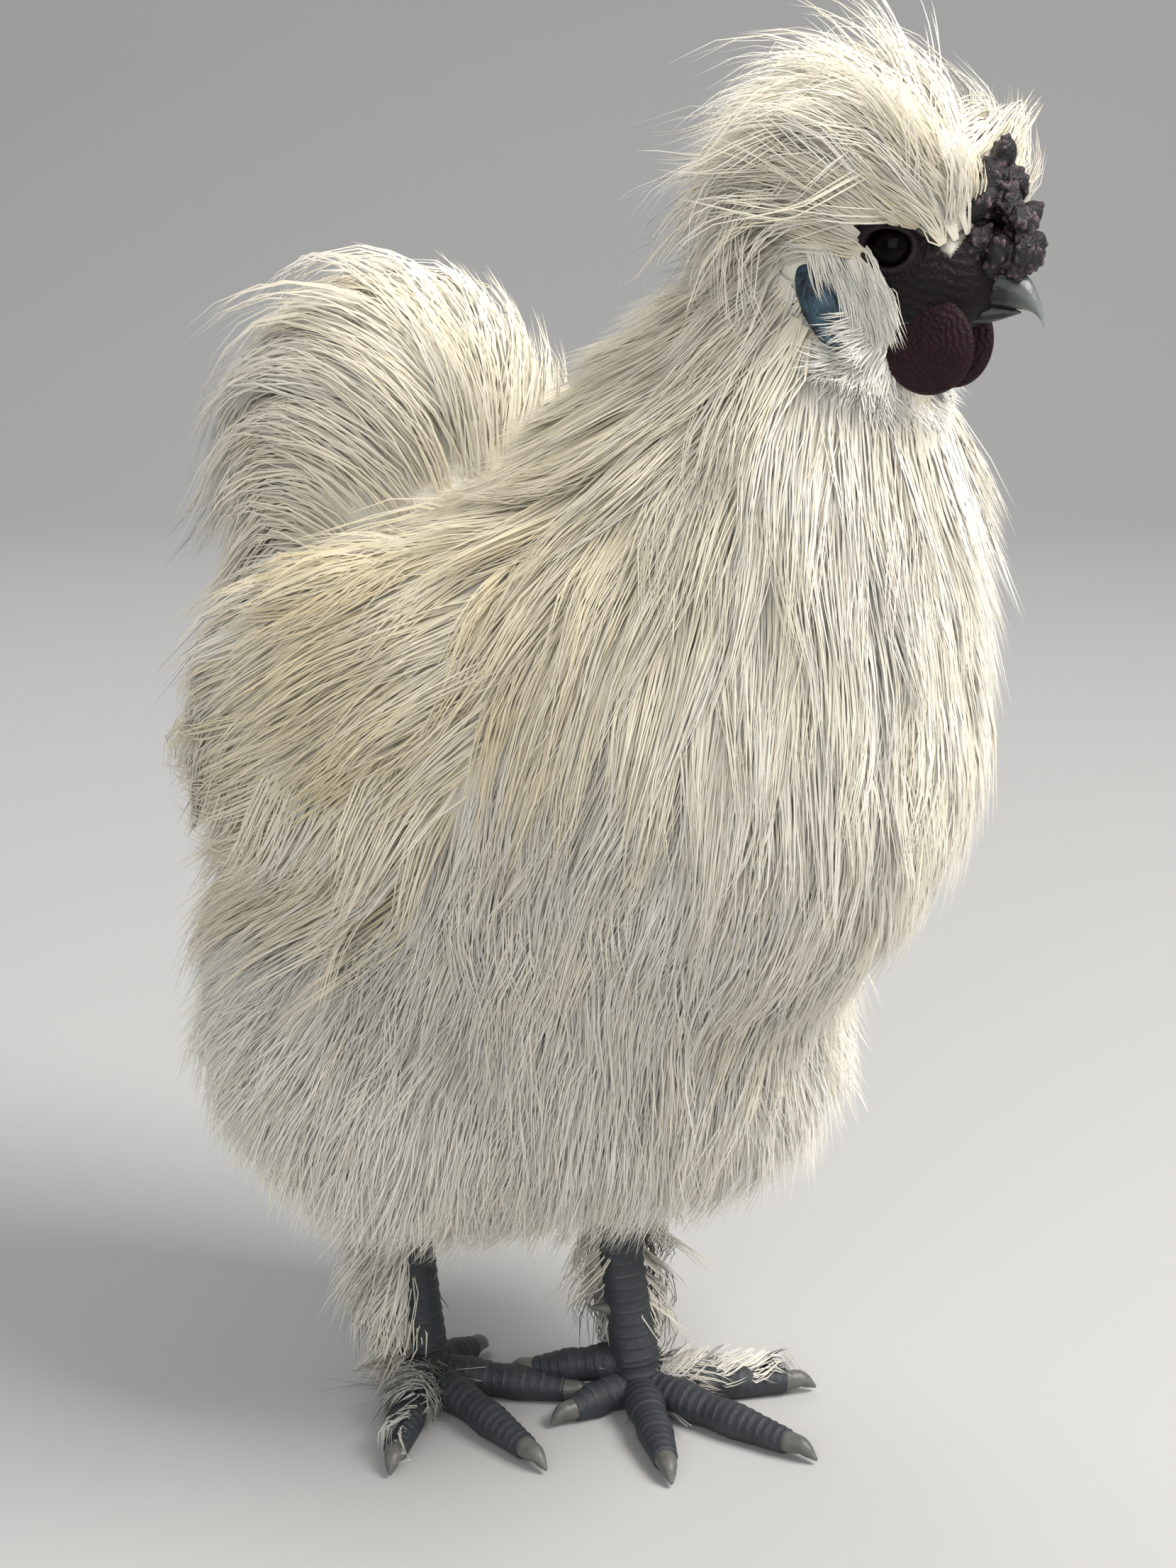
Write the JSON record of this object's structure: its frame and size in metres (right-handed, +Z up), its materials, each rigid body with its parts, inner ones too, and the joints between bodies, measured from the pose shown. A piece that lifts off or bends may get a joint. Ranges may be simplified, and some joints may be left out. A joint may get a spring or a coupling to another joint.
{
  "type": "silkie chicken",
  "caption": "Life-size standing model of a cream-white silkie cock with crest, dark comb and wattles, hackle, soft tail and feathered five-toed feet.",
  "frame": {"origin": "on the floor, in the middle of the bird's footprint box", "axes": "+X where the body faces, +Y the bird's left side, +Z up"},
  "size_m": [0.276, 0.1716, 0.3808],
  "materials": {
    "plumage": "soft silky cream-white feathers without barbules, matt with a faint sheen along the strands",
    "dark_skin": "nearly black mulberry face and wattles, finely wrinkled, matt",
    "comb": "dark plum walnut comb, knobbly, with greyish worn tops",
    "earlobe": "turquoise to navy smooth skin",
    "eye": "black, wet and glossy",
    "horn": "slate blue-grey bill, claws and spurs with pale horn tips",
    "leg_skin": "slate-grey scaled skin with pale worn edges"
  },
  "bodies": {
    "root": {"torso": "plumage", "neck": "plumage", "head": "dark_skin", "crest": "plumage", "tail": "plumage", "comb": "comb", "bill_upper": "horn", "bill_lower": "horn", "eye_left": "eye", "wattle_left": "dark_skin", "earlobe_left": "earlobe", "wing_left": "plumage", "thigh_left": "plumage", "leg_feathers_left": "plumage", "shank_left": "leg_skin", "foot_left": "leg_skin", "spur_left": "horn", "claw_left_middle": "horn", "claw_left_inner": "horn", "claw_left_outer": "horn", "claw_left_back": "horn", "claw_left_fifth": "horn", "eye_right": "eye", "wattle_right": "dark_skin", "earlobe_right": "earlobe", "wing_right": "plumage", "thigh_right": "plumage", "leg_feathers_right": "plumage", "shank_right": "leg_skin", "foot_right": "leg_skin", "spur_right": "horn", "claw_right_middle": "horn", "claw_right_inner": "horn", "claw_right_outer": "horn", "claw_right_back": "horn", "claw_right_fifth": "horn"}
  },
  "joints": []
}
